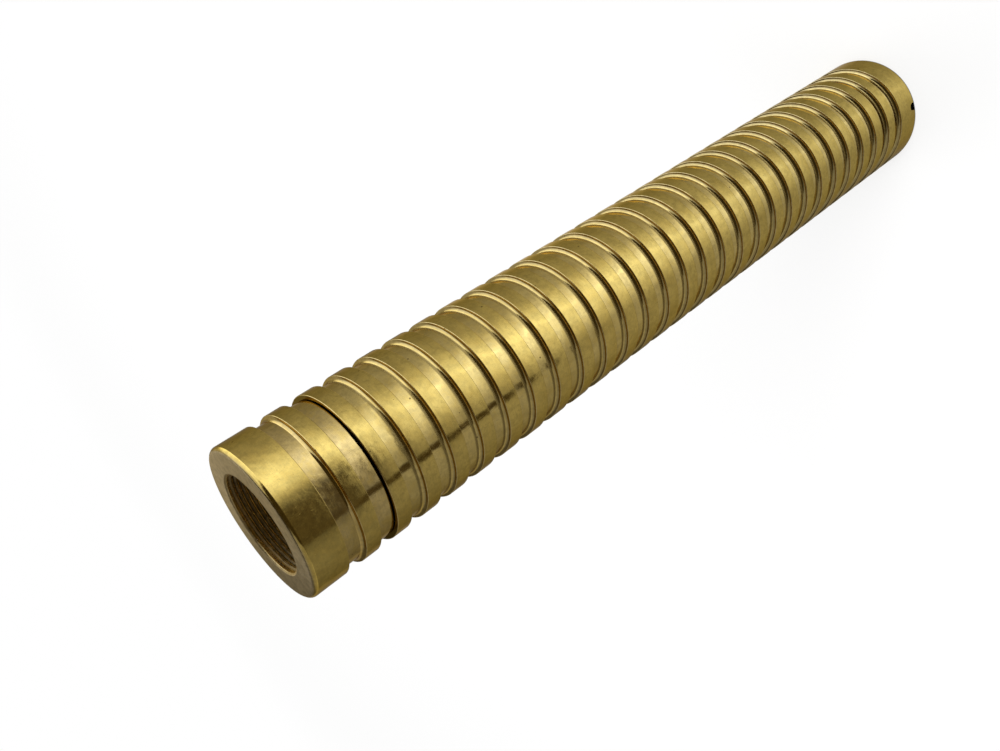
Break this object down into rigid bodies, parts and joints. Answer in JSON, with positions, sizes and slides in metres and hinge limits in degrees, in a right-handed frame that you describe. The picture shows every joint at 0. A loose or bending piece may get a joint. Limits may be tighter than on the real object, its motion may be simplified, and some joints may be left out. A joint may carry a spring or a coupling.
{
  "type": "laser pointer",
  "caption": "Round brass hand-held laser pointer with square ring grooves, a threaded aperture at the front and a recessed push button in the tail.",
  "frame": {"origin": "middle of the tail rim's flat face, on which the pointer stands", "axes": "+Z along the axis towards the aperture, +X through the notch in the tail rim"},
  "size_m": [0.0254, 0.0254, 0.1695],
  "materials": {
    "turned_brass": "turned, lightly tarnished",
    "inner_brass": "turned, clean",
    "copper": "turned copper",
    "aluminium": "turned, bare",
    "gold_plate": "gold plated",
    "nickel": "nickel plated steel",
    "spring_steel": "bright wire",
    "window_glass": "coated glass",
    "lens_glass": "polished glass",
    "filter_glass": "tinted glass",
    "crystal": "polished crystal",
    "seal_rubber": "matt black rubber",
    "board": "green lacquered board",
    "black_plastic": "moulded black plastic",
    "ceramic": "fired ceramic",
    "white_plastic": "moulded white plastic",
    "cell_wrap": "shrink wrap",
    "insulator": "pressed fibre"
  },
  "bodies": {
    "tail": {"tail_cap": "turned_brass", "return_spring": "spring_steel", "switch_housing": "black_plastic", "switch_board": "board", "switch_ring": "inner_brass", "tail_spring": "gold_plate", "tail_seal": "seal_rubber", "cell": "nickel", "cell_sleeve": "cell_wrap", "cell_insulator": "insulator"},
    "button": {"tail_button": "turned_brass", "switch_plunger": "white_plastic"},
    "barrel": {"body_tube": "turned_brass", "head": "turned_brass", "head_seal": "seal_rubber", "window_ring": "inner_brass", "window": "window_glass", "window_seal": "seal_rubber", "heat_sink": "aluminium", "module_housing": "inner_brass", "pump_diode": "gold_plate", "diode_leads": "gold_plate", "crystal_mount": "copper", "laser_crystal": "crystal", "expander_lens": "lens_glass", "ir_filter": "filter_glass", "lens_spring": "spring_steel", "lens_cell": "inner_brass", "collimating_lens": "lens_glass", "driver_board": "board", "driver_inductor": "black_plastic", "driver_chip": "black_plastic", "driver_capacitors": "ceramic", "front_spring": "gold_plate"}
  },
  "joints": [
    {"name": "button_press", "type": "slide", "parent": "tail", "child": "button", "axis": [0, 0, 1], "range_m": [0, 0.0015], "stiffness_N_per_m": 1500, "springref_m": -0.001, "deforming": ["return_spring"]},
    {"name": "barrel_lift", "type": "slide", "parent": "tail", "child": "barrel", "axis": [0, 0, 1], "range_m": [0, 0.085]}
  ]
}
